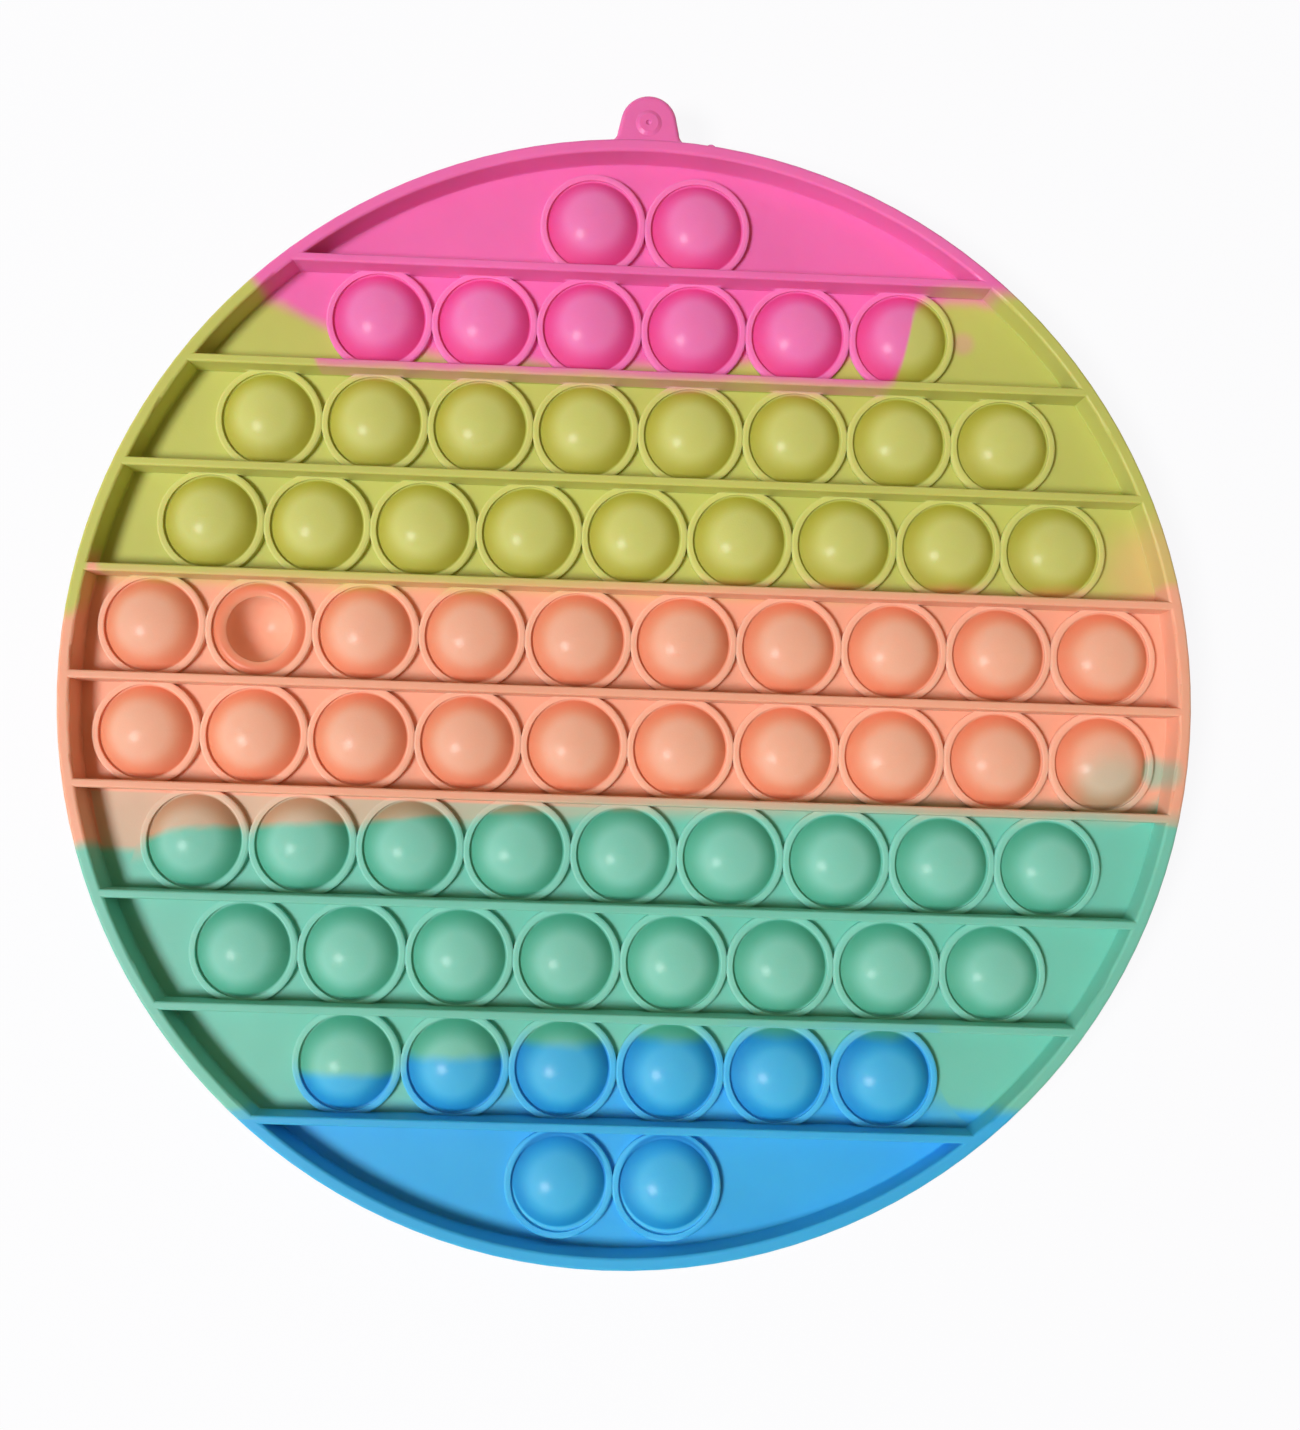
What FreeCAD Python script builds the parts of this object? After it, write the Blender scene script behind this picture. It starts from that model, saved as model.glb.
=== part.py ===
import FreeCAD, Part
import math
import os

from FreeCAD import Vector

# Bubble pop board: one soft moulding, a round rim with ribs, a thin web and seventy domes.
# The origin is at the centre of the disc, on the plane that the board rests on, with the
# domes towards +Z and the hanging tab towards +Y.

# Board
BOARD_DIAMETER = 202.6
BUBBLE_PITCH = 19.2
ROW_COUNTS = (2, 6, 8, 9, 10, 10, 9, 8, 6, 2)
POPPED_ROW = 5
POPPED_PLACE = 2
LAST_ROW_DROP = 1.05

# Web that carries the bubbles, halfway up the board
WEB_THICKNESS = 2.0
WALL_HEIGHT = 6.0
WEB_SINK_IN_RIM = 1.2
WEB_SINK_IN_COLLAR = 0.9

# Rim, which narrows from the web to its lips
RIM_LIP_WIDTH = 2.4
RIM_DRAFT = 0.1
RIM_EDGE_ROUND = 0.55
RIM_FOOT = 0.2
RIM_FOOT_SINK = 0.05
PARTING_RIDGE = 0.12
PARTING_HALF_HEIGHT = 0.3

# Straight ribs between the rows
RIB_TIP_WIDTH = 1.5
RIB_ROOT_WIDTH = 1.7
RIB_TIP_ROUND = 0.4
RIB_SINK_IN_RIM = 1.0

# Bubble: a dome that springs from a narrow groove in a raised collar
DOME_FOOT_RADIUS = 8.2
DOME_BELOW_LIP = 0.4
DOME_WALL = 1.1
GROOVE_WIDTH = 0.35
GROOVE_DEPTH = 0.7
COLLAR_WIDTH = 1.25
COLLAR_HEIGHT = 1.6
UNDER_COLLAR_HEIGHT = 1.0
COLLAR_DRAFT = 0.1
COLLAR_INNER_BEVEL = 0.15
COLLAR_OUTER_BEVEL = 0.35

# Bubble that is pushed through: a round bowl that hangs from a low rolled fold
BOWL_RADIUS = 6.0
FOLD_RISE = 0.5

# Hanging tab at the top edge, with a low boss and a dimple on each face
TAB_TIP_RADIUS = 5.1
TAB_ROOT_WIDTH = 11.2
TAB_REACH = 8.55
TAB_THICKNESS = 4.0
TAB_BELOW_LIP = 1.0
TAB_EDGE_ROUND = 0.8
TAB_ROOT_ROUND = 2.0
TAB_SINK_IN_RIM = 1.2
TAB_BOSS_FOOT_RADIUS = 2.4
TAB_BOSS_TOP_RADIUS = 1.7
TAB_BOSS_HEIGHT = 0.35
TAB_DIMPLE_RADIUS = 0.5
TAB_BOSS_FROM_TIP = 5.3

# Stub of the moulding gate on the rim's upper edge, beside the tab
GATE_OFFSET = 11.6
GATE_WIDTH = 2.0
GATE_REACH = 0.45
GATE_THICKNESS = 1.6
GATE_BELOW_LIP = 0.3

# Heights and radii that follow
LIP_TOP = 2 * WALL_HEIGHT + WEB_THICKNESS
MID_HEIGHT = LIP_TOP / 2
HALF_WEB = WEB_THICKNESS / 2
RIM_RADIUS = BOARD_DIAMETER / 2
RIM_INNER_AT_LIP = RIM_RADIUS - RIM_LIP_WIDTH
RIM_INNER_AT_WEB = RIM_INNER_AT_LIP - RIM_DRAFT
DIAGONAL_SHARE = math.sqrt(0.5)


def line(start, end):
    """A straight edge."""
    return Part.makeLine(start, end)


def arc(start, middle, end):
    """A round edge through three points."""
    return Part.Arc(start, middle, end).toShape()


def section_point(radius, height):
    """A point of a section, with its height counted from the middle of the web."""
    return Vector(radius, 0, height)


def rounded_section(corners):
    """A closed section in the XZ plane from (radius, height, rounding) corners."""
    edges = []
    previous_end = None
    first_start = None
    count = len(corners)
    for index in range(count):
        before = section_point(*corners[index - 1][:2])
        corner = section_point(*corners[index][:2])
        after = section_point(*corners[(index + 1) % count][:2])
        start, end, bend = rounded_corner(before, corner, after, corners[index][2])
        if previous_end is not None:
            edges.append(line(previous_end, start))
        else:
            first_start = start
        if bend is not None:
            edges.append(bend)
        previous_end = end
    edges.append(line(previous_end, first_start))
    return Part.Face(Part.Wire(edges))


def rounded_corner(before, corner, after, rounding):
    """Where a corner's rounding starts and ends, and the arc between them."""
    if rounding == 0:
        return corner, corner, None
    to_before = (before - corner).normalize()
    to_after = (after - corner).normalize()
    half_turn = to_before.getAngle(to_after) / 2
    tangent = rounding / math.tan(half_turn)
    bisector = (to_before + to_after).normalize()
    centre = corner + bisector * (rounding / math.sin(half_turn))
    middle = centre - bisector * rounding
    start = corner + to_before * tangent
    end = corner + to_after * tangent
    return start, end, arc(start, middle, end)


def revolved(section):
    """A section turned about the upright axis through the origin."""
    return section.revolve(Vector(0, 0, 0), Vector(0, 0, 1), 360)


# Rows


def row_height(row):
    """How far a row of bubbles lies from the middle of the board, towards the tab."""
    middle_row = (len(ROW_COUNTS) - 1) / 2
    drop = LAST_ROW_DROP if row == len(ROW_COUNTS) - 1 else 0
    return (middle_row - row) * BUBBLE_PITCH - drop


def bubble_places():
    """Centre of each bubble, with whether it is popped."""
    places = []
    for row, count in enumerate(ROW_COUNTS):
        for place in range(count):
            across = (place - (count - 1) / 2) * BUBBLE_PITCH
            popped = (row + 1, place + 1) == (POPPED_ROW, POPPED_PLACE)
            places.append((Vector(across, row_height(row), 0), popped))
    return places


# Rim


def make_rim():
    """The rim: two drafted lips that meet the web, with a faint parting ridge outside."""
    lip = HALF_WEB + WALL_HEIGHT
    foot = HALF_WEB + RIM_FOOT
    foot_radius = RIM_INNER_AT_WEB - RIM_FOOT
    outer_at_lip = RIM_RADIUS - PARTING_RIDGE
    upper = [
        (RIM_RADIUS, 0, 0),
        (outer_at_lip, PARTING_HALF_HEIGHT, 0),
        (outer_at_lip, lip, RIM_EDGE_ROUND),
        (RIM_INNER_AT_LIP, lip, RIM_EDGE_ROUND),
        (RIM_INNER_AT_WEB, foot, 0),
        (foot_radius, HALF_WEB - RIM_FOOT_SINK, 0),
    ]
    lower = [(radius, -height, rounding) for radius, height, rounding in reversed(upper[1:])]
    return revolved(rounded_section(upper + lower))


# Web and ribs


def make_web(places):
    """The thin disc halfway up, with a round opening where each bubble is set in."""
    web = Part.makeCylinder(RIM_INNER_AT_WEB + WEB_SINK_IN_RIM, WEB_THICKNESS,
                            Vector(0, 0, -HALF_WEB))
    opening_radius = collar_inner_radius() + COLLAR_WIDTH - WEB_SINK_IN_COLLAR
    below = Vector(0, 0, WEB_THICKNESS)
    openings = [Part.makeCylinder(opening_radius, 2 * WEB_THICKNESS, centre - below)
                for centre, popped in places]
    return web.cut(openings)


def rib_section(length, across):
    """Cross-section of one rib at its left end, above and below the web."""
    lip = HALF_WEB + WALL_HEIGHT
    corners = [
        (across + RIB_ROOT_WIDTH / 2, 0, 0),
        (across + RIB_TIP_WIDTH / 2, lip, RIB_TIP_ROUND),
        (across - RIB_TIP_WIDTH / 2, lip, RIB_TIP_ROUND),
        (across - RIB_ROOT_WIDTH / 2, 0, 0),
        (across - RIB_TIP_WIDTH / 2, -lip, RIB_TIP_ROUND),
        (across + RIB_TIP_WIDTH / 2, -lip, RIB_TIP_ROUND),
    ]
    section = rounded_section(corners)
    section.rotate(Vector(0, 0, 0), Vector(0, 0, 1), 90)
    section.translate(Vector(-length / 2, 0, 0))
    return section


def make_ribs():
    """Straight ribs at one pitch, half a pitch below each row but the last, let into the rim."""
    reach = RIM_INNER_AT_LIP + RIB_SINK_IN_RIM
    ribs = []
    for row in range(len(ROW_COUNTS) - 1):
        across = row_height(row) - BUBBLE_PITCH / 2
        length = 2 * math.sqrt(reach ** 2 - across ** 2)
        ribs.append(rib_section(length, across).extrude(Vector(length, 0, 0)))
    return ribs


# Bubbles


def collar_inner_radius():
    """Radius of the collar's inner wall, just outside the groove."""
    return DOME_FOOT_RADIUS + GROOVE_WIDTH


def groove_floor():
    """Height of the groove's floor, which the dome springs from."""
    return HALF_WEB + COLLAR_HEIGHT - GROOVE_DEPTH


def dome_shape():
    """Radius and centre height of the dome's outer sphere, from its foot and its top."""
    top = HALF_WEB + WALL_HEIGHT - DOME_BELOW_LIP
    rise = top - groove_floor()
    radius = (DOME_FOOT_RADIUS ** 2 + rise ** 2) / (2 * rise)
    return radius, top - radius


def dome_arc_point(radius, centre_height, height):
    """Point of a dome's arc at a height."""
    across = math.sqrt(radius ** 2 - (height - centre_height) ** 2)
    return section_point(across, height)


def dome_arc(radius, centre_height, foot_height):
    """The dome's arc from its top on the axis down to a height near its foot."""
    top = section_point(0, centre_height + radius)
    foot = dome_arc_point(radius, centre_height, foot_height)
    half_angle = math.atan2(foot.x, foot.z - centre_height) / 2
    middle = section_point(radius * math.sin(half_angle), centre_height + radius * math.cos(half_angle))
    return arc(top, middle, foot)


def collar_crest(collar_height):
    """Radius and height of a collar's crest above the web, from its inner wall outwards."""
    inner = collar_inner_radius()
    outer = inner + COLLAR_WIDTH
    top = HALF_WEB + collar_height
    return [
        (inner, top - COLLAR_INNER_BEVEL),
        (inner + COLLAR_INNER_BEVEL, top),
        (outer - COLLAR_DRAFT - COLLAR_OUTER_BEVEL, top),
        (outer - COLLAR_DRAFT, top - COLLAR_OUTER_BEVEL),
    ]


def collar_edges(upper_foot, lower_foot):
    """The section of groove and collars, from a foot in the groove to one below the web."""
    inner = collar_inner_radius()
    upper_crest = collar_crest(COLLAR_HEIGHT)
    lower_crest = [(radius, -height) for radius, height in reversed(collar_crest(UNDER_COLLAR_HEIGHT))]
    corners = [(inner, upper_foot.z)] + upper_crest + [(inner + COLLAR_WIDTH, 0)] + lower_crest
    corners.append((inner, lower_foot.z))
    points = [upper_foot] + [section_point(*corner) for corner in corners] + [lower_foot]
    return [line(start, end) for start, end in zip(points, points[1:])]


def turned_section(edges):
    """A solid of revolution about a bubble's own axis, from the edges of its section."""
    return revolved(Part.Face(Part.Wire(Part.__sortEdges__(edges))))


def make_raised_bubble():
    """A bubble that stands up: a thin dome that springs from the groove."""
    radius, centre_height = dome_shape()
    inside_radius = radius - DOME_WALL
    foot = dome_arc_point(radius, centre_height, groove_floor())
    inside_foot = dome_arc_point(inside_radius, centre_height, -HALF_WEB)
    edges = collar_edges(foot, inside_foot)
    edges.append(dome_arc(inside_radius, centre_height, inside_foot.z))
    edges.append(line(section_point(0, centre_height + inside_radius),
                      section_point(0, centre_height + radius)))
    edges.append(dome_arc(radius, centre_height, foot.z))
    return turned_section(edges)


def bowl_arc(radius, centre_height, brink):
    """The bowl's arc from its lowest point on the axis up to its brink."""
    bottom = section_point(0, centre_height - radius)
    half_angle = math.atan2(brink.x, centre_height - brink.z) / 2
    across = radius * math.sin(half_angle)
    return arc(bottom, section_point(across, centre_height - radius * math.cos(half_angle)), brink)


def make_pushed_bubble():
    """A bubble that is pushed through: a round bowl that hangs from a low rolled fold."""
    level = groove_floor()
    outer_radius = BOWL_RADIUS + DOME_WALL
    fold_foot = section_point(DOME_FOOT_RADIUS, level)
    fold_crown = section_point((DOME_FOOT_RADIUS + BOWL_RADIUS) / 2, level + FOLD_RISE)
    brink = section_point(BOWL_RADIUS, level)
    outer_brink = dome_arc_point(outer_radius, level, level - DOME_WALL)
    edges = collar_edges(fold_foot, outer_brink)
    edges.append(bowl_arc(outer_radius, level, outer_brink))
    edges.append(line(section_point(0, level - outer_radius), section_point(0, level - BOWL_RADIUS)))
    edges.append(bowl_arc(BOWL_RADIUS, level, brink))
    edges.append(arc(brink, fold_crown, fold_foot))
    return turned_section(edges)


def make_bubbles(places):
    """Every bubble in its place, raised or pushed through."""
    raised = make_raised_bubble()
    pushed = make_pushed_bubble()
    bubbles = []
    for centre, popped in places:
        bubble = pushed.copy() if popped else raised.copy()
        bubble.translate(centre)
        bubbles.append(bubble)
    return bubbles


# Tab and gate stub


def make_tab():
    """The hanging tab: a rounded tongue that widens to flared roots, with a boss on each face."""
    tongue = round_tab(tab_outline().extrude(Vector(0, 0, TAB_THICKNESS)))
    tongue = add_tab_bosses(tongue)
    top = HALF_WEB + WALL_HEIGHT - TAB_BELOW_LIP
    tongue.translate(Vector(0, 0, top - TAB_THICKNESS))
    return tongue


def tab_outline():
    """The outline of the tab, seen from above, with its root inside the rim."""
    half_root = TAB_ROOT_WIDTH / 2
    root = RIM_RADIUS - TAB_SINK_IN_RIM
    tip_centre = RIM_RADIUS + TAB_REACH - TAB_TIP_RADIUS
    flare_half = half_root + TAB_ROOT_ROUND
    meet = math.sqrt(RIM_RADIUS ** 2 - flare_half ** 2)
    side_foot = meet + TAB_ROOT_ROUND
    lean = math.atan2(half_root - TAB_TIP_RADIUS, tip_centre - side_foot)
    side_top = Vector(TAB_TIP_RADIUS * math.cos(lean), tip_centre + TAB_TIP_RADIUS * math.sin(lean), 0)
    turn = TAB_ROOT_ROUND * (1 - DIAGONAL_SHARE)
    right = [
        Vector(flare_half, root, 0),
        Vector(flare_half, meet, 0),
        Vector(half_root + turn, meet + turn, 0),
        Vector(half_root, side_foot, 0),
        side_top,
    ]
    left = [Vector(-point.x, point.y, 0) for point in right]
    edges = [line(left[0], right[0]), arc(right[4], Vector(0, RIM_RADIUS + TAB_REACH, 0), left[4])]
    for side in (right, left):
        edges += [line(side[0], side[1]), arc(side[1], side[2], side[3]), line(side[3], side[4])]
    return Part.Face(Part.Wire(Part.__sortEdges__(edges)))


def round_tab(tongue):
    """Round the edges of the tab that stand clear of the rim."""
    clear_of_root = RIM_RADIUS - TAB_SINK_IN_RIM / 2
    free_edges = [edge for edge in tongue.Edges
                  if edge.BoundBox.ZLength < TAB_THICKNESS / 2 and edge.BoundBox.YMin > clear_of_root]
    return tongue.makeFillet(TAB_EDGE_ROUND, free_edges)


def add_tab_bosses(tongue):
    """Raise a low boss with a dimple on both faces of the tab."""
    for height, outward in ((0, Vector(0, 0, -1)), (TAB_THICKNESS, Vector(0, 0, 1))):
        foot = Vector(0, RIM_RADIUS + TAB_REACH - TAB_BOSS_FROM_TIP, height)
        boss = Part.makeCone(TAB_BOSS_FOOT_RADIUS, TAB_BOSS_TOP_RADIUS, TAB_BOSS_HEIGHT, foot, outward)
        dimple = Part.makeSphere(TAB_DIMPLE_RADIUS, foot + outward * TAB_BOSS_HEIGHT)
        tongue = tongue.fuse(boss).cut(dimple)
    return tongue


def make_gate_stub():
    """The trimmed stub of the gate, a low rounded lump on the outside of the rim."""
    top = HALF_WEB + WALL_HEIGHT - RIM_EDGE_ROUND - GATE_BELOW_LIP
    stub = Part.makeCylinder(GATE_WIDTH / 2, GATE_THICKNESS, Vector(0, 0, top - GATE_THICKNESS))
    angle = GATE_OFFSET / RIM_RADIUS
    out = RIM_RADIUS - PARTING_RIDGE + GATE_REACH - GATE_WIDTH / 2
    stub.translate(Vector(out * math.sin(angle), out * math.cos(angle), 0))
    return stub


# The whole board


def make_board():
    """All of the board as one solid, standing on its lower lips."""
    places = bubble_places()
    pieces = [make_rim()] + make_ribs() + make_bubbles(places) + [make_tab(), make_gate_stub()]
    board = make_web(places).multiFuse(pieces).Solids[0]
    board.translate(Vector(0, 0, MID_HEIGHT))
    return board


os.makedirs("parts", exist_ok=True)
make_board().exportStep("parts/bubble_board.step")
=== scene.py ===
import math

import bpy
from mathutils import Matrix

bl_info = {
    "name": "Bubble Board Finish",
    "version": (1, 0, 0),
    "blender": (4, 5, 0),
    "location": "3D View > Sidebar > Bubble Board",
    "description": "Soft rainbow silicone for a bubble pop board, with its table and light",
    "category": "Material",
}

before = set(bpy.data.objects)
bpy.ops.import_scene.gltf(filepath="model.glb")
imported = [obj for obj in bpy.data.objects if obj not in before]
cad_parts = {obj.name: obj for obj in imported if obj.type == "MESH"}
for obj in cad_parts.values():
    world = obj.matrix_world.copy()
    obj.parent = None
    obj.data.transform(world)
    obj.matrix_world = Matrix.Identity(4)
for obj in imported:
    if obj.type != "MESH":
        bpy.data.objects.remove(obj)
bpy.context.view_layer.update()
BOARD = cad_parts["bubble_board"]

# Spacing of the bubbles, and how far from the middle the rows of nine lie, in metres
PITCH = 0.0192
NINE_ROW = 1.5 * PITCH

# How far the drawn curves reach across the board and towards the tab, in metres
HALF_SPAN = 0.102
CURVE_HALF_HEIGHT = 0.1

# Where each mask begins and where it is full, in metres from a bubble's axis
# The foot mask places painted shade; the collar mask, dome included, places painted light
FOOT_INSIDE = (0.0042, 0.0083)
FOOT_OUTSIDE = (0.0086, 0.0080)
DOME_WITHIN = (0.0089, 0.0083)
COLLAR_WITHIN = (0.0104, 0.0094)

# The same by height above the table, by distance from the middle, and by place towards the tab
PROUD_OF_FLOOR = (0.0082, 0.0088)
BUBBLE_ABOVE = (0.0083, 0.0089)
COLLAR_BELOW = (0.0100, 0.0097)
INSIDE_RIM = (0.0985, 0.0981)
BELOW_HAZE_RIB = (-0.0202, -0.0208)
BELOW_LAST_RIB = (-0.0762, -0.0769)

# Drawn curves of the borders between the colours: (across, towards the tab) in metres
PINK_TO_LIME_FLOOR = ((-0.100, 0.074), (-0.068, 0.070), (-0.057, 0.0655), (-0.038, 0.0612), (0.0, 0.0608),
                      (0.019, 0.0625), (0.040, 0.0645), (0.050, 0.0720), (0.057, 0.0750), (0.100, 0.0755))
PINK_TO_LIME_RAISED = ((-0.100, 0.0750), (-0.073, 0.0745), (-0.068, 0.0700), (-0.0600, 0.0660),
                       (-0.0580, 0.0571), (0.0420, 0.0571), (0.0450, 0.0577), (0.0470, 0.0602),
                       (0.0487, 0.0672), (0.0505, 0.0735), (0.0560, 0.0755), (0.100, 0.0750))
LIME_TO_PEACH_FLOOR = ((-0.100, 0.018), (-0.050, 0.0190), (0.0, 0.0192), (0.050, 0.0200),
                       (0.078, 0.0205), (0.088, 0.0215), (0.100, 0.0230))
LIME_TO_PEACH_RAISED = ((-0.1005, 0.0105), (-0.0988, 0.0110), (-0.0974, 0.0160), (-0.0960, 0.0225),
                        (-0.0945, 0.0180), (-0.030, 0.0182), (0.0, 0.0198), (0.030, 0.0208),
                        (0.077, 0.0212), (0.100, 0.0240))
PEACH_TO_MINT_FLOOR = ((-0.100, -0.031), (-0.084, -0.0295), (-0.067, -0.0262), (-0.048, -0.0250),
                       (-0.029, -0.0232), (-0.010, -0.0212), (0.028, -0.0195), (0.060, -0.0185),
                       (0.092, -0.0185), (0.100, -0.0150))
PEACH_TO_MINT_RAISED = ((-0.100, -0.031), (-0.086, -0.0282), (-0.077, -0.0265), (-0.058, -0.0250),
                        (-0.038, -0.0230), (-0.019, -0.0213), (0.0, -0.0203), (0.028, -0.0197),
                        (0.074, -0.0192), (0.086, -0.0185), (0.100, -0.0195))
MINT_TO_BLUE_FLOOR = ((-0.100, -0.0800), (-0.060, -0.0790), (-0.038, -0.0765), (-0.019, -0.0720),
                      (0.0, -0.0690), (0.019, -0.0660), (0.036, -0.0650), (0.050, -0.0690),
                      (0.064, -0.0730), (0.100, -0.0735))
MINT_TO_BLUE_RAISED = ((-0.100, -0.0770), (-0.064, -0.0755), (-0.0565, -0.0691), (-0.0395, -0.0691),
                       (-0.0370, -0.0655), (-0.0203, -0.0653), (-0.0178, -0.0627), (-0.0010, -0.0625),
                       (0.0015, -0.0615), (0.0180, -0.0615), (0.0205, -0.0602), (0.0370, -0.0602),
                       (0.0400, -0.0595), (0.0560, -0.0595), (0.0610, -0.0720), (0.100, -0.0720))

# Each border: its curve on the floor and on what rises from it, how soft it is on the floor and on a dome,
# and what sets its wander apart from the others'
PINK_TO_LIME = (PINK_TO_LIME_FLOOR, PINK_TO_LIME_RAISED, (0.0020, 0.0020), 0.0)
LIME_TO_PEACH = (LIME_TO_PEACH_FLOOR, LIME_TO_PEACH_RAISED, (0.0028, 0.0018), 0.31)
PEACH_TO_MINT = (PEACH_TO_MINT_FLOOR, PEACH_TO_MINT_RAISED, (0.0034, 0.0014), 0.57)
MINT_TO_BLUE = (MINT_TO_BLUE_FLOOR, MINT_TO_BLUE_RAISED, (0.0045, 0.0013), 0.83)

# A border's wander: scale and detail of its coarse and its fine noise, and how much stronger the coarse is
COARSE_WANDER = (70.0, 1.0)
FINE_WANDER = (320.0, 2.0)
COARSE_SHARE = 3

# Soft patches where a colour has strayed among its neighbour: middle, reach, and share at the middle
PINK_STAIN = ((0.0597, 0.0675), 0.0030, 0.3)
LIME_STAIN = ((0.0960, 0.0260), 0.0130, 0.38)
END_STAIN = ((0.0875, -0.0145), 0.0095, 0.38)
RIM_STAIN = ((0.0965, -0.0110), 0.0042, 0.6)
STAIN_CORE = 0.3

# Mint in the last of the peach: from and to across the board, with its share at each
MINT_HAZE = (-0.080, 0.010, 0.30, 0.68)

# Skin of the silicone: scale, detail and roughness of each noise
GRAIN = (2600.0, 2.0, 0.6)
SWELL = (160.0, 2.0, 0.5)
SHINE = (90.0, 3.0, 0.6)
CLOUD = (35.0, 3.0, 0.55)
SWELL_SHARE = 4.0
SHINE_SPREAD = 0.14
CLOUD_TONES = (0.3, 0.7, 0.96, 1.03)
SILICONE_IOR = 1.41

# Camera, found from the rows of bubbles and the rim
CAMERA_PLACE = (-0.00278, -0.01903, 0.28055)
CAMERA_TURN = (math.radians(3.27), math.radians(-1.41), math.radians(1.99))
FOCAL_LENGTH_PX = 1500.0
PICTURE_LONG_SIDE_PX = 1430.0
SENSOR_WIDTH = 36.0
NEAREST_SEEN = 0.01


class BoardFinish(bpy.types.PropertyGroup):
    """Colours and surface of the silicone, and the painted light and shade on its bubbles"""
    pink: bpy.props.FloatVectorProperty(
        name="Pink", description="First band, under the tab", subtype="COLOR", size=3,
        min=0, max=1, default=(0.86, 0.185, 0.515))
    lime: bpy.props.FloatVectorProperty(
        name="Lime", description="Second band", subtype="COLOR", size=3,
        min=0, max=1, default=(0.58, 0.595, 0.165))
    peach: bpy.props.FloatVectorProperty(
        name="Peach", description="Band across the middle", subtype="COLOR", size=3,
        min=0, max=1, default=(0.86, 0.44, 0.315))
    mint: bpy.props.FloatVectorProperty(
        name="Mint", description="Fourth band", subtype="COLOR", size=3,
        min=0, max=1, default=(0.205, 0.595, 0.495))
    blue: bpy.props.FloatVectorProperty(
        name="Blue", description="Last band", subtype="COLOR", size=3,
        min=0, max=1, default=(0.056, 0.465, 0.83))
    # Painted shade: the warm tint that the shaded foot of a bubble is painted with
    foot_shade_tint: bpy.props.FloatVectorProperty(
        name="Foot tint", description="Warmth of the colour at the foot of a bubble",
        subtype="COLOR", size=3, min=0, max=1, default=(0.97, 0.88, 0.82))
    roughness: bpy.props.FloatProperty(
        name="Roughness", description="How satin the silicone is", min=0, max=1, default=0.58)
    scatter: bpy.props.FloatProperty(
        name="Scatter", description="Share of light that enters the silicone", min=0, max=1, default=1.0)
    scatter_depth: bpy.props.FloatProperty(
        name="Scatter depth", description="How far light spreads inside the silicone",
        min=0.0001, max=0.02, default=0.0008, unit="LENGTH")
    # Painted shade: how far the colour is darkened at a bubble's foot, where shade falls
    foot_painted_shade: bpy.props.FloatProperty(
        name="Deepening",
        description="How much deeper the colour is at a bubble's foot, where its wall is thick",
        min=0, max=1, default=0.6)
    # Painted light: how far the colour of a bubble's top and collar is lightened, standing in for light
    # inside the silicone
    top_painted_light: bpy.props.FloatProperty(
        name="Lightening", description="How far the colour of a bubble's top and collar is lightened",
        min=0, max=1, default=0.11)
    evenness: bpy.props.FloatProperty(
        name="Evenness", description="How far light inside a bubble's thin wall evens out its shading",
        min=0, max=1, default=0.44)
    collar_evenness: bpy.props.FloatProperty(
        name="Collar evenness", description="How far the same evens out the shading of a bubble's collar",
        min=0, max=1, default=0.65)
    border_wander: bpy.props.FloatProperty(
        name="Border wander", description="How far a border strays from its drawn line",
        min=0, max=0.005, default=0.0007, unit="LENGTH")


class StageSettings(bpy.types.PropertyGroup):
    """Table and light"""
    table_glow: bpy.props.FloatProperty(
        name="Table glow", description="How far the table is lifted to white where the camera sees it",
        min=0, max=1, default=0.93)
    table_size: bpy.props.FloatProperty(
        name="Table size", description="Side of the square table",
        min=0.5, max=10, default=4.0, unit="LENGTH")
    key_strength: bpy.props.FloatProperty(
        name="Key strength", description="Power of the soft lamp on the left, in watts",
        min=0, max=100, default=49.5)
    key_size: bpy.props.FloatProperty(
        name="Key size", description="Diameter of the soft lamp",
        min=0.05, max=2, default=0.75, unit="LENGTH")
    key_place: bpy.props.FloatVectorProperty(
        name="Key place", description="Where the lamp hangs, seen from the middle of the board", size=3,
        default=(-1.140, -0.520, 2.000), subtype="TRANSLATION", unit="LENGTH")
    fill_strength: bpy.props.FloatProperty(
        name="Fill strength", description="Even light from all round", min=0, max=2, default=0.24)
    fill_colour: bpy.props.FloatVectorProperty(
        name="Fill colour", description="Warmth of the even light", subtype="COLOR", size=3,
        min=0, max=1, default=(1.0, 0.80, 0.42))


# Node helpers


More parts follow.
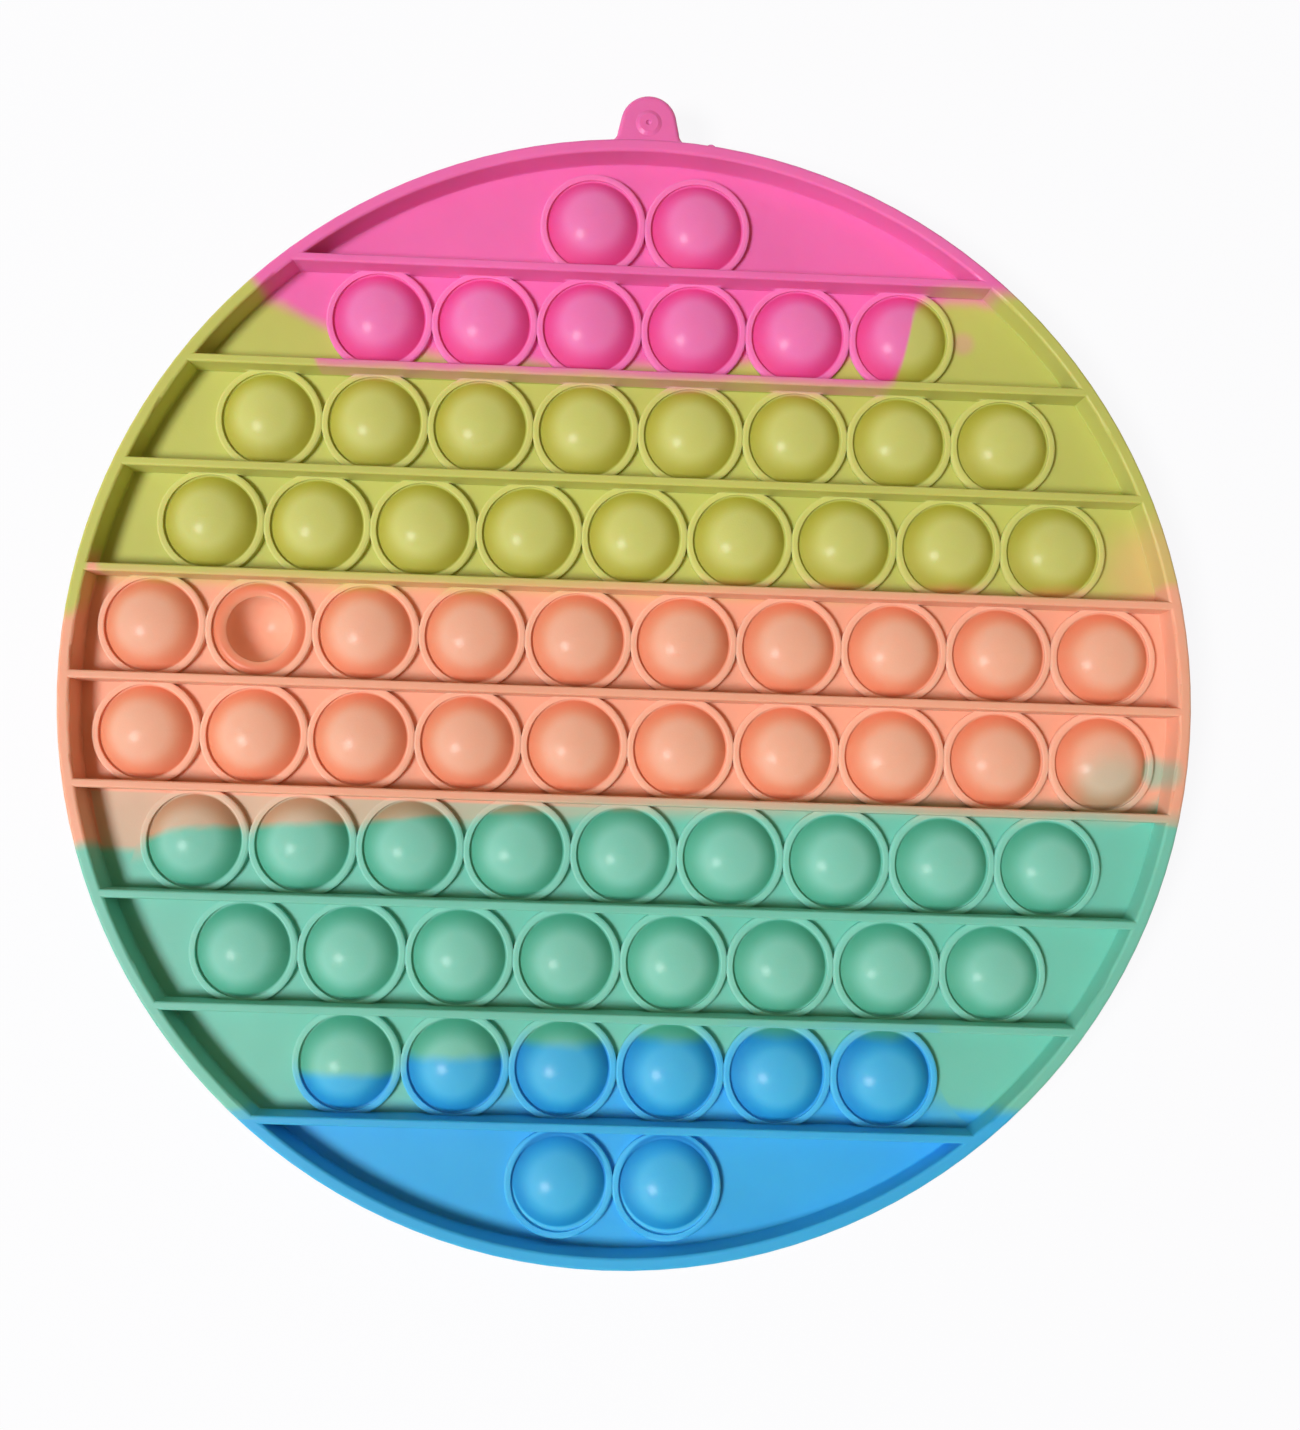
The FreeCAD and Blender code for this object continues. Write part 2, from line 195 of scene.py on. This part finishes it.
class Weave:
    """Adds nodes to one tree and links them, so that a material reads like a formula."""

    def __init__(self, tree):
        self.tree = tree

    def add(self, kind, settings=None, inputs=None):
        """A node of this kind, with its settings and its linked or fixed inputs."""
        node = self.tree.nodes.new(kind)
        for name, value in (settings or {}).items():
            setattr(node, name, value)
        for name, value in (inputs or {}).items():
            self.feed(node.inputs[name], value)
        return node

    def feed(self, socket, value):
        """Links an output to a socket, or sets the socket."""
        if isinstance(value, bpy.types.NodeSocket):
            self.tree.links.new(value, socket)
        else:
            socket.default_value = value

    def math(self, operation, first, second=0.0, third=0.0):
        """One step of arithmetic on numbers or outputs."""
        node = self.add("ShaderNodeMath", {"operation": operation}, {0: first, 1: second, 2: third})
        return node.outputs[0]

    def parts(self, vector):
        """A place's three parts: across the board, towards the tab, and height."""
        return self.add("ShaderNodeSeparateXYZ", inputs={0: vector}).outputs

    def distance(self, across, towards):
        """How far off a point is, from its two parts along the board."""
        squares = self.math("MULTIPLY", across, across), self.math("MULTIPLY", towards, towards)
        return self.math("SQRT", self.math("ADD", *squares))

    def ramp(self, value, low, high, start=0.0, end=1.0, course="SMOOTHSTEP"):
        """A clamped step of a value, from start at low to end at high."""
        node = self.add("ShaderNodeMapRange", {"interpolation_type": course, "clamp": True},
                        {"Value": value, "From Min": low, "From Max": high, "To Min": start, "To Max": end})
        return node.outputs["Result"]

    def blend(self, share, first, second):
        """One number mixed with another."""
        node = self.add("ShaderNodeMix", {"data_type": "FLOAT"}, {0: share, 2: first, 3: second})
        return node.outputs[0]

    def tint(self, share, first, second, how="MIX"):
        """One colour mixed with another."""
        node = self.add("ShaderNodeMix", {"data_type": "RGBA", "blend_type": how},
                        {0: share, 6: first, 7: second})
        return node.outputs[2]

    def noise(self, place, scale, detail=2.0, roughness=0.5):
        """Soft noise from 0 to 1 at this place."""
        node = self.add("ShaderNodeTexNoise", {"noise_dimensions": "3D"},
                        {"Vector": place, "Scale": scale, "Detail": detail, "Roughness": roughness})
        return node.outputs["Fac"]

    def curve(self, value, points):
        """A border's height as a drawn curve over the width of the board."""
        node = self.add("ShaderNodeFloatCurve")
        drawn = node.mapping.curves[0]
        spots = [((across + HALF_SPAN) / (2 * HALF_SPAN), 0.5 + height / (2 * CURVE_HALF_HEIGHT))
                 for across, height in points]
        drawn.points[0].location = spots[0]
        drawn.points[1].location = spots[-1]
        for spot in spots[1:-1]:
            drawn.points.new(*spot)
        for point in drawn.points:
            point.handle_type = "AUTO_CLAMPED"
        node.mapping.update()
        self.feed(node.inputs["Value"], self.ramp(value, -HALF_SPAN, HALF_SPAN, course="LINEAR"))
        return self.math("MULTIPLY_ADD", node.outputs[0], 2 * CURVE_HALF_HEIGHT, -CURVE_HALF_HEIGHT)


def new_group(name, inputs, outputs):
    """An empty node group with named sockets, its weave and its two end nodes."""
    group = bpy.data.node_groups.new(name, "ShaderNodeTree")
    for socket_name, kind in inputs:
        group.interface.new_socket(socket_name, in_out="INPUT", socket_type=kind)
    for socket_name, kind in outputs:
        group.interface.new_socket(socket_name, in_out="OUTPUT", socket_type=kind)
    weave = Weave(group)
    return group, weave, weave.add("NodeGroupInput"), weave.add("NodeGroupOutput")


def new_material(name):
    """A material with nothing in its node tree, and its weave."""
    material = bpy.data.materials.new(name)
    material.use_nodes = True
    material.node_tree.nodes.clear()
    return material, Weave(material.node_tree)


# Masks of the moulding


def bubble_cell_group():
    """Distance from the nearest bubble's axis, for rows of ten, nine, eight, six and two."""
    group, weave, given, result = new_group(
        "bubble_cell", [("Place", "NodeSocketVector")],
        [("Foot", "NodeSocketFloat"), ("Dome", "NodeSocketFloat"), ("Collar", "NodeSocketFloat")])
    across, towards = weave.parts(given.outputs["Place"])[:2]
    row_middle = weave.math("ADD", weave.math("SNAP", towards, PITCH), PITCH / 2)
    in_nine_row = weave.math("COMPARE", weave.math("ABSOLUTE", row_middle), NINE_ROW, PITCH / 4)
    offset = weave.math("MULTIPLY", in_nine_row, PITCH / 2)
    cell = weave.math("SNAP", weave.math("ADD", across, offset), PITCH)
    cell_middle = weave.math("SUBTRACT", weave.math("ADD", cell, PITCH / 2), offset)
    from_axis = weave.distance(weave.math("SUBTRACT", across, cell_middle),
                               weave.math("SUBTRACT", towards, row_middle))
    weave.feed(result.inputs["Foot"], weave.math("MULTIPLY", weave.ramp(from_axis, *FOOT_INSIDE),
                                                 weave.ramp(from_axis, *FOOT_OUTSIDE)))
    weave.feed(result.inputs["Dome"], weave.ramp(from_axis, *DOME_WITHIN))
    weave.feed(result.inputs["Collar"], weave.ramp(from_axis, *COLLAR_WITHIN))
    return group


def inside_rim(weave, place):
    """1 where bubbles stand, 0 on the rim and on the hanging tab."""
    across, towards = weave.parts(place)[:2]
    return weave.ramp(weave.distance(across, towards), *INSIDE_RIM)


def on_bubbles(weave, place, cell):
    """1 on domes and collars, 0 on the floor, the ribs, the rim and the tab."""
    height = weave.parts(place)[2]
    proud = weave.math("MULTIPLY", weave.ramp(height, *BUBBLE_ABOVE), inside_rim(weave, place))
    low = weave.math("MAXIMUM", cell.outputs["Dome"], weave.ramp(height, *COLLAR_BELOW))
    return weave.math("MULTIPLY", proud, low)


# Colours, with painted light and shade on the bubbles


def border(weave, place, cell, wander, floor_points, raised_points, softness, seed):
    """Where one colour has given way to the next: 0 towards the tab, 1 away from it."""
    across, towards, height = weave.parts(place)
    on_floor = weave.curve(across, floor_points)
    on_raised = weave.curve(across, raised_points)
    drawn = weave.blend(weave.ramp(height, *PROUD_OF_FLOOR), on_floor, on_raised)
    moved = weave.add("ShaderNodeMapping", {"vector_type": "POINT"},
                      {"Vector": place, "Location": (seed, seed * 0.7, 0.0)}).outputs[0]
    coarse = weave.math("SUBTRACT", weave.noise(moved, *COARSE_WANDER), 0.5)
    fine = weave.math("SUBTRACT", weave.noise(moved, *FINE_WANDER), 0.5)
    stray = weave.math("ADD", weave.math("MULTIPLY", coarse, wander * COARSE_SHARE),
                       weave.math("MULTIPLY", fine, wander))
    past = weave.math("SUBTRACT", weave.math("ADD", drawn, stray), towards)
    half_width = weave.blend(cell.outputs["Dome"], *softness)
    return weave.ramp(past, weave.math("MULTIPLY", half_width, -1.0), half_width)


def stain(weave, place, middle, reach, most):
    """A soft round patch where the next colour has strayed."""
    across, towards = weave.parts(place)[:2]
    away = weave.distance(weave.math("SUBTRACT", across, middle[0]),
                          weave.math("SUBTRACT", towards, middle[1]))
    return weave.ramp(away, reach, reach * STAIN_CORE, 0.0, most)


def mint_haze(weave, place):
    """Mint that has mixed into the last of the peach, less so towards the left."""
    across, towards = weave.parts(place)[:2]
    share = weave.math("MULTIPLY", weave.ramp(towards, *BELOW_HAZE_RIB), weave.ramp(across, *MINT_HAZE))
    return weave.math("MULTIPLY", share, inside_rim(weave, place))


def last_row(weave, place):
    """1 on the last row, which is blue from its rib on."""
    return weave.ramp(weave.parts(place)[1], *BELOW_LAST_RIB)


def band_shares(weave, place, cell, wander):
    """How far lime, peach, mint and blue have each taken over from the colour before."""
    lime, peach, mint, blue = (border(weave, place, cell, wander, *drawn)
                               for drawn in (PINK_TO_LIME, LIME_TO_PEACH, PEACH_TO_MINT, MINT_TO_BLUE))
    lime = weave.math("MINIMUM", lime, weave.math("SUBTRACT", 1.0, stain(weave, place, *PINK_STAIN)))
    peach = weave.math("MAXIMUM", peach, stain(weave, place, *LIME_STAIN))
    mint = weave.math("MAXIMUM", mint, mint_haze(weave, place))
    for drawn in (END_STAIN, RIM_STAIN):
        mint = weave.math("MAXIMUM", mint, stain(weave, place, *drawn))
    blue = weave.math("MAXIMUM", blue, last_row(weave, place))
    return lime, peach, mint, blue


def rainbow(weave, shares, finish):
    """The five colours, each laid over the one before by its share."""
    colour = (*finish.pink, 1.0)
    for share, band in zip(shares, (finish.lime, finish.peach, finish.mint, finish.blue)):
        colour = weave.tint(share, colour, (*band, 1.0))
    return colour


def paint_bubble_light_and_shade(weave, colour, cell, bubbles, finish):
    """The colour with painted shade at a bubble's foot, darker and warmer, and painted light on its top and
    collar.
    """
    # Painted shade: the colour is darkened towards a bubble's foot, where shade falls; painted light
    # lightens its top and collar
    deeper = weave.math("MULTIPLY", cell.outputs["Foot"], finish.foot_painted_shade + finish.top_painted_light)
    painted_light_and_shade = weave.math("MULTIPLY_ADD", cell.outputs["Collar"], -finish.top_painted_light, deeper)
    depth = weave.math("MULTIPLY_ADD", painted_light_and_shade, bubbles, 1.0)
    colour = weave.add("ShaderNodeGamma", inputs={"Color": colour, "Gamma": depth}).outputs[0]
    # Painted shade: a warm tint laid at a bubble's foot, the colour its shaded side takes
    foot_shade_share = weave.math("MULTIPLY", cell.outputs["Foot"], bubbles)
    return weave.tint(foot_shade_share, colour, (*finish.foot_shade_tint, 1.0), "MULTIPLY")


def clouded(weave, colour, cloud):
    """The colour, a little uneven as pigment in silicone is."""
    level = weave.ramp(cloud, *CLOUD_TONES)
    shade = weave.add("ShaderNodeCombineXYZ", inputs={0: level, 1: level, 2: level}).outputs[0]
    return weave.tint(1.0, colour, shade, "MULTIPLY")


# Surface


def skin_group():
    """Fine moulded skin of silicone: bump height, and a little unevenness in shine and colour."""
    group, weave, given, result = new_group(
        "silicone_skin", [("Place", "NodeSocketVector")],
        [("Height", "NodeSocketFloat"), ("Shine", "NodeSocketFloat"), ("Cloud", "NodeSocketFloat")])
    place = given.outputs["Place"]
    grain = weave.noise(place, *GRAIN)
    swell = weave.noise(place, *SWELL)
    weave.feed(result.inputs["Height"], weave.math("MULTIPLY_ADD", swell, SWELL_SHARE, grain))
    weave.feed(result.inputs["Shine"], weave.noise(place, *SHINE))
    weave.feed(result.inputs["Cloud"], weave.noise(place, *CLOUD))
    return group


def bubble_evenness(weave, cell, bubbles, finish):
    """How far shading is evened out: most on collars, less on domes, not at all elsewhere."""
    ring = weave.math("SUBTRACT", cell.outputs["Collar"], cell.outputs["Dome"])
    dome = weave.math("MULTIPLY", cell.outputs["Dome"], finish.evenness)
    return weave.math("MULTIPLY", weave.math("MULTIPLY_ADD", ring, finish.collar_evenness, dome), bubbles)


def evened_normal(weave, share):
    """The surface's normal, leant back towards the face of the board by this share."""
    facing = weave.add("ShaderNodeTexCoord").outputs["Normal"]
    outward = weave.math("SIGN", weave.parts(facing)[2])
    straight = weave.add("ShaderNodeCombineXYZ", inputs={2: outward}).outputs[0]
    leant = weave.add("ShaderNodeMix", {"data_type": "VECTOR"}, {0: share, 4: facing, 5: straight})
    return weave.add("ShaderNodeVectorMath", {"operation": "NORMALIZE"}, {0: leant.outputs[1]}).outputs[0]


def rainbow_silicone(finish):
    """The one material of the board: five colours that run into each other, in satin silicone."""
    material, weave = new_material("rainbow_silicone")
    place = weave.add("ShaderNodeTexCoord").outputs["Object"]
    cell = weave.add("ShaderNodeGroup", {"node_tree": bubble_cell_group()}, {"Place": place})
    skin = weave.add("ShaderNodeGroup", {"node_tree": skin_group()}, {"Place": place})
    bubbles = on_bubbles(weave, place, cell)
    colour = rainbow(weave, band_shares(weave, place, cell, finish.border_wander), finish)
    # Painted shade at the bubbles' feet and painted light on their tops and collars
    colour = paint_bubble_light_and_shade(weave, colour, cell, bubbles, finish)
    colour = clouded(weave, colour, skin.outputs["Cloud"])
    least = finish.roughness - SHINE_SPREAD / 2
    roughness = weave.math("MULTIPLY_ADD", skin.outputs["Shine"], SHINE_SPREAD, least)
    normal = evened_normal(weave, bubble_evenness(weave, cell, bubbles, finish))
    bump = weave.add("ShaderNodeBump", inputs={
        "Strength": 0.25, "Distance": 0.00006, "Normal": normal, "Height": skin.outputs["Height"]})
    shader = weave.add("ShaderNodeBsdfPrincipled", {"subsurface_method": "RANDOM_WALK"}, {
        "Base Color": colour, "Roughness": roughness, "Normal": bump.outputs["Normal"],
        "Subsurface Weight": finish.scatter, "Subsurface Radius": (1.0, 0.6, 0.5),
        "Subsurface Scale": finish.scatter_depth, "IOR": SILICONE_IOR,
        "Specular IOR Level": 0.3, "Coat Weight": 0.3, "Coat Roughness": 0.25, "Coat IOR": SILICONE_IOR})
    weave.add("ShaderNodeOutputMaterial", inputs={"Surface": shader.outputs["BSDF"]})
    return material


class BOARD_OT_finish(bpy.types.Operator):
    """Gives the moulded board its rainbow silicone"""
    bl_idname = "bubble_board.finish"
    bl_label = "Finish the board"

    def execute(self, context):
        material = rainbow_silicone(context.scene.board_finish)
        BOARD.data.materials.clear()
        BOARD.data.materials.append(material)
        return {"FINISHED"}


# Stage


def pale_table(glow):
    """A matte white table that the camera sees paler than it is, with the board's shadow kept."""
    material, weave = new_material("pale_table")
    matte = weave.add("ShaderNodeBsdfPrincipled", inputs={
        "Base Color": (0.9, 0.9, 0.9, 1.0), "Roughness": 0.7, "Specular IOR Level": 0.1})
    pale = weave.add("ShaderNodeEmission", inputs={"Color": (0.985, 0.985, 1.0, 1.0), "Strength": 1.0})
    rays = weave.add("ShaderNodeLightPath")
    seen = weave.math("MAXIMUM", rays.outputs["Is Camera Ray"], rays.outputs["Is Glossy Ray"])
    seen = weave.math("MAXIMUM", seen, rays.outputs["Is Transmission Ray"])
    mixed = weave.add("ShaderNodeMixShader", inputs={
        0: weave.math("MULTIPLY", seen, glow), 1: matte.outputs["BSDF"], 2: pale.outputs["Emission"]})
    weave.add("ShaderNodeOutputMaterial", inputs={"Surface": mixed.outputs["Shader"]})
    return material


def add_table(settings):
    """The pale table top that the board lies on."""
    bpy.ops.mesh.primitive_plane_add(size=settings.table_size, location=(0.0, 0.0, 0.0))
    table = bpy.context.object
    table.name = "table_top"
    table.data.materials.append(pale_table(settings.table_glow))


def add_lights(settings):
    """One soft lamp high on the left, and weak warm light from all round."""
    bpy.ops.object.light_add(type="AREA", location=settings.key_place)
    lamp = bpy.context.object
    lamp.name = "soft_lamp"
    lamp.rotation_euler = settings.key_place.to_track_quat("Z", "Y").to_euler()
    lamp.data.shape = "DISK"
    lamp.data.size = settings.key_size
    lamp.data.energy = settings.key_strength
    world = bpy.data.worlds.new("even_light")
    world.use_nodes = True
    background = world.node_tree.nodes["Background"]
    background.inputs["Color"].default_value = (*settings.fill_colour, 1.0)
    background.inputs["Strength"].default_value = settings.fill_strength
    bpy.context.scene.world = world


def add_camera():
    """The camera above the board, turned as the picture shows it."""
    bpy.ops.object.camera_add(location=CAMERA_PLACE)
    camera = bpy.context.object
    camera.name = "camera"
    camera.rotation_mode = "ZYX"
    camera.rotation_euler = CAMERA_TURN
    camera.data.sensor_width = SENSOR_WIDTH
    camera.data.lens = FOCAL_LENGTH_PX * SENSOR_WIDTH / PICTURE_LONG_SIDE_PX
    camera.data.clip_start = NEAREST_SEEN
    bpy.context.scene.camera = camera


class BOARD_OT_stage(bpy.types.Operator):
    """Sets out the table, the light and the camera"""
    bl_idname = "bubble_board.stage"
    bl_label = "Set the stage"

    def execute(self, context):
        bpy.ops.object.select_all(action="DESELECT")
        settings = context.scene.board_stage
        add_table(settings)
        add_lights(settings)
        add_camera()
        context.scene.view_settings.view_transform = "Standard"
        return {"FINISHED"}


class BOARD_PT_panel(bpy.types.Panel):
    """Lists the steps that dress the board"""
    bl_idname = "BOARD_PT_panel"
    bl_label = "Bubble Board"
    bl_space_type = "VIEW_3D"
    bl_region_type = "UI"
    bl_category = "Bubble Board"

    def draw(self, context):
        layout = self.layout
        for group in (context.scene.board_finish, context.scene.board_stage):
            for name in group.bl_rna.properties.keys():
                if name not in ("rna_type", "name"):
                    layout.prop(group, name)
        layout.operator(BOARD_OT_finish.bl_idname)
        layout.operator(BOARD_OT_stage.bl_idname)


CLASSES = (BoardFinish, StageSettings, BOARD_OT_finish, BOARD_OT_stage, BOARD_PT_panel)


def register():
    for cls in CLASSES:
        bpy.utils.register_class(cls)
    bpy.types.Scene.board_finish = bpy.props.PointerProperty(type=BoardFinish)
    bpy.types.Scene.board_stage = bpy.props.PointerProperty(type=StageSettings)


def unregister():
    del bpy.types.Scene.board_finish
    del bpy.types.Scene.board_stage
    for cls in reversed(CLASSES):
        bpy.utils.unregister_class(cls)


def main():
    """Dresses the board and sets out the stage."""
    register()
    bpy.ops.bubble_board.finish()
    bpy.ops.bubble_board.stage()


if __name__ == "__main__":
    main()
